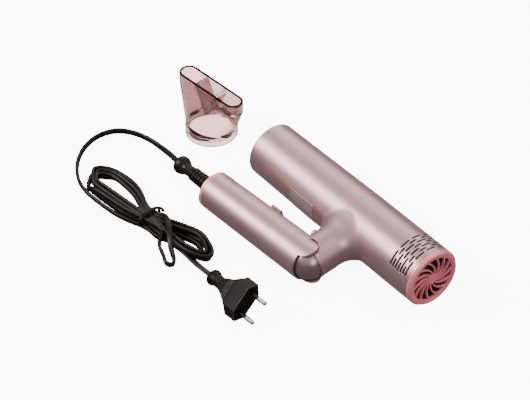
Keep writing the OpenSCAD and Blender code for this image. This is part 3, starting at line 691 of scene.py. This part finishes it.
def plug_point(x, y, z):
    """Point of the tilted plug: x across its pins, y from its face to its tail, z through it."""
    roll, pitch, yaw = [math.radians(angle) for angle in PLUG_TILT]
    turn = (Matrix.Rotation(yaw, 3, "Z") @ Matrix.Rotation(pitch, 3, "X")
            @ Matrix.Rotation(roll, 3, "Y"))
    at = turn @ Vector((x, y, z)) + PLUG_AT
    return floor_point(*at)


def taper_section(y):
    """Half width, half flat and half thickness of the plug's taper at y."""
    stations = [(14.1, PLUG_W, PLUG_FLAT, PLUG_T), (17.5, 14.6, 9, 6.7), (21.7, 11.7, 7.2, 6.4),
                (26.3, 8.9, 5.6, 6), (33, 6.7, 3.9, 5.4)]
    for a, b in zip(stations, stations[1:]):
        if y <= b[0]:
            share = (y - a[0]) / (b[0] - a[0])
            return [p + (q - p) * share for p, q in zip(a[1:], b[1:])]
    return stations[-1][1:]


def six_sided(wide, flat, thick):
    """Outline of the plug's section from half its width, flats and thickness."""
    return [(wide, 0), (flat, thick), (-flat, thick), (-wide, 0), (-flat, -thick), (flat, -thick)]


def make_plug_ribs(materials):
    """Grip ribs round the plug's taper and a rim round the edge of its face, both in a lighter black as a painted
    highlight.
    """
    half, rise, sink = 0.45, 0.4, 0.6
    build = bmesh.new()
    face = six_sided(PLUG_W, PLUG_FLAT, PLUG_T)
    rims = [[build.verts.new(plug_point(x * grow, y, z * grow)) for x, z in face]
            for y, grow in ((0.5, 0.99), (0.5, 1.008), (-0.04, 1.004), (-0.04, 0.96))]
    for ring, after in zip(rims, rims[1:]):
        bridge(build, ring, after)
    for middle in (18.4, 20.6, 22.8):
        rings = []
        for y, grow in ((middle - half, -sink), (middle - half, rise),
                        (middle + half, rise), (middle + half, -sink)):
            wide, flat, thick = taper_section(y)
            rings.append([build.verts.new(plug_point(x * (1 + grow / wide), y, z * (1 + grow / thick)))
                          for x, z in six_sided(wide, flat, thick)])
        for ring, after in zip(rings, rings[1:]):
            bridge(build, ring, after)
    face_outwards(build)
    ribs = add_mesh("plug_ribs", build, materials["plug_edge_highlight"])
    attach(ribs, "handle")
    return ribs


def make_spring(materials):
    """The button's spring, as a steel copy of its CAD mesh held on the root body."""
    node = NODES["button_spring"]
    spring = bpy.data.objects.new("soft_spring", node.data.copy())
    bpy.context.scene.collection.objects.link(spring)
    spring.matrix_world = node.matrix_world.copy()
    spring.data.materials.clear()
    spring.data.materials.append(materials["steel"])
    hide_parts("button_spring")
    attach(spring, "root")
    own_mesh(spring)


def make_collar_lines(materials):
    """Dense edges of the collar's foot and lip."""
    for name, z, radius, width in (("collar_foot", 0.02, 22.6, 0.9), ("collar_lip", 7.9, 21.6, 0.7),
                                   ("collar_step", 5.2, 21.2, 0.45)):
        points = []
        for i in range(72):
            turn = 2 * math.pi * i / 72
            across = (math.cos(turn), math.sin(turn))
            points.append((nozzle_point(radius * across[0], radius * across[1], z),
                           nozzle_direction(*across), Vector((0, 0, 1))))
        ring_line(name, points, width, 0.35, materials["smoky_line"], "nozzle")


def make_nozzle_folds(materials):
    """Dark creases where the funnel's flat walls run down into the round collar."""
    build = bmesh.new()
    for middle, half_angle, tall, foot in ((180, 62, 7.5, 3.5), (270, 24, 5, 5), (0, 62, 7.5, 3.5),
                                           (90, 24, 5, 5)):
        strip = []
        for i in range(25):
            share = i / 12 - 1
            turn = math.radians(middle + half_angle * share)
            rise = tall * (1 - share * share)
            low = foot + 5.5 * share * share
            out = [(COLLAR_BORE_R, low), (COLLAR_BORE_R - 0.12 * rise, low + rise)]
            strip.append([build.verts.new(nozzle_point(r * math.cos(turn), r * math.sin(turn), z))
                          for r, z in out])
        for a, b in zip(strip, strip[1:]):
            build.faces.new((a[0], b[0], b[1], a[1]))
    folds = add_mesh("nozzle_folds", build, materials["smoky_rim"])
    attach(folds, "nozzle")


# ---------- stage ----------

FLOOR_GLOW = 9.0
SKY = 1.0
KEY = 50
FILL = 12
BACK = 16
FRONT = 12

def make_stage():
    """Pale floor that sweeps up far behind the object, all round."""
    mesh = bpy.data.meshes.new("floor")
    build = bmesh.new()
    profile = [(4, 0)] + [(4 + 2 * math.sin(a), 2 - 2 * math.cos(a))
                          for a in [i * math.pi / 16 for i in range(1, 9)]] + [(6, 6)]
    rings = [[build.verts.new((r * math.cos(t), r * math.sin(t), z))
              for t in [i * math.pi / 32 for i in range(64)]] for r, z in profile]
    build.faces.new(rings[0])
    for ring, after in zip(rings, rings[1:]):
        for i in range(64):
            k = (i + 1) % 64
            build.faces.new((ring[i], ring[k], after[k], after[i]))
    build.to_mesh(mesh)
    build.free()
    floor = bpy.data.objects.new("floor", mesh)
    bpy.context.scene.collection.objects.link(floor)
    floor.location.z = -0.0005
    white = Material("floor_white", (0.93, 0.93, 0.93), 0.9, Emission_Strength=FLOOR_GLOW)
    white.shader.inputs["Emission Color"].default_value = (1, 1, 1, 1)
    white.vary_colour(white.noise(3, detail=2), (0.925, 0.925, 0.925), (0.935, 0.935, 0.935))
    mesh.materials.append(white.material)
    floor.visible_glossy = False
    floor.visible_diffuse = False
    floor.visible_shadow = False


def area_light(name, direction, distance, size, power, colour=(1, 1, 1)):
    data = bpy.data.lights.new(name, "AREA")
    data.shape = "DISK"
    data.size = size
    data.energy = power
    data.color = colour
    light = bpy.data.objects.new(name, data)
    bpy.context.scene.collection.objects.link(light)
    place = Vector(direction).normalized() * distance
    light.location = place
    light.rotation_euler = (-place).to_track_quat("-Z", "Y").to_euler()


def make_light():
    """A studio that is bright above and dim below, with a large lamp low on the handle's side."""
    world = bpy.data.worlds.new("studio")
    world.use_nodes = True
    nodes = world.node_tree.nodes
    links = world.node_tree.links
    place = nodes.new("ShaderNodeTexCoord")
    parts = nodes.new("ShaderNodeSeparateXYZ")
    links.new(place.outputs["Generated"], parts.inputs["Vector"])
    ramp = nodes.new("ShaderNodeValToRGB")
    ramp.color_ramp.interpolation = "EASE"
    ramp.color_ramp.elements[0].position = 0.0
    ramp.color_ramp.elements[0].color = (0.20, 0.19, 0.19, 1)
    ramp.color_ramp.elements[1].position = 0.75
    ramp.color_ramp.elements[1].color = (1, 1, 1, 1)
    links.new(parts.outputs["Z"], ramp.inputs["Fac"])
    links.new(ramp.outputs["Color"], nodes["Background"].inputs["Color"])
    nodes["Background"].inputs["Strength"].default_value = SKY
    bpy.context.scene.world = world
    area_light("key", (-0.62, 0.56, 0.62), 2.2, 1.2, KEY)
    area_light("front", (-0.1, -1.0, 0.55), 2.2, 1.0, FRONT)
    area_light("back", (0.55, 0.6, 0.55), 2.4, 1.6, BACK)
    area_light("fill", (1.0, -0.6, 1.4), 2.4, 1.6, FILL)


make_camera()
MATERIALS = make_materials()
dress_nodes(MATERIALS)
make_cord(MATERIALS)
make_neck_fillet(MATERIALS)
make_nozzle_rim(MATERIALS)
make_gauze_and_vent_shade(MATERIALS)
make_label_border(MATERIALS)
make_spring(MATERIALS)
make_collar_lines(MATERIALS)
make_nozzle_folds(MATERIALS)
make_stage()
make_light()
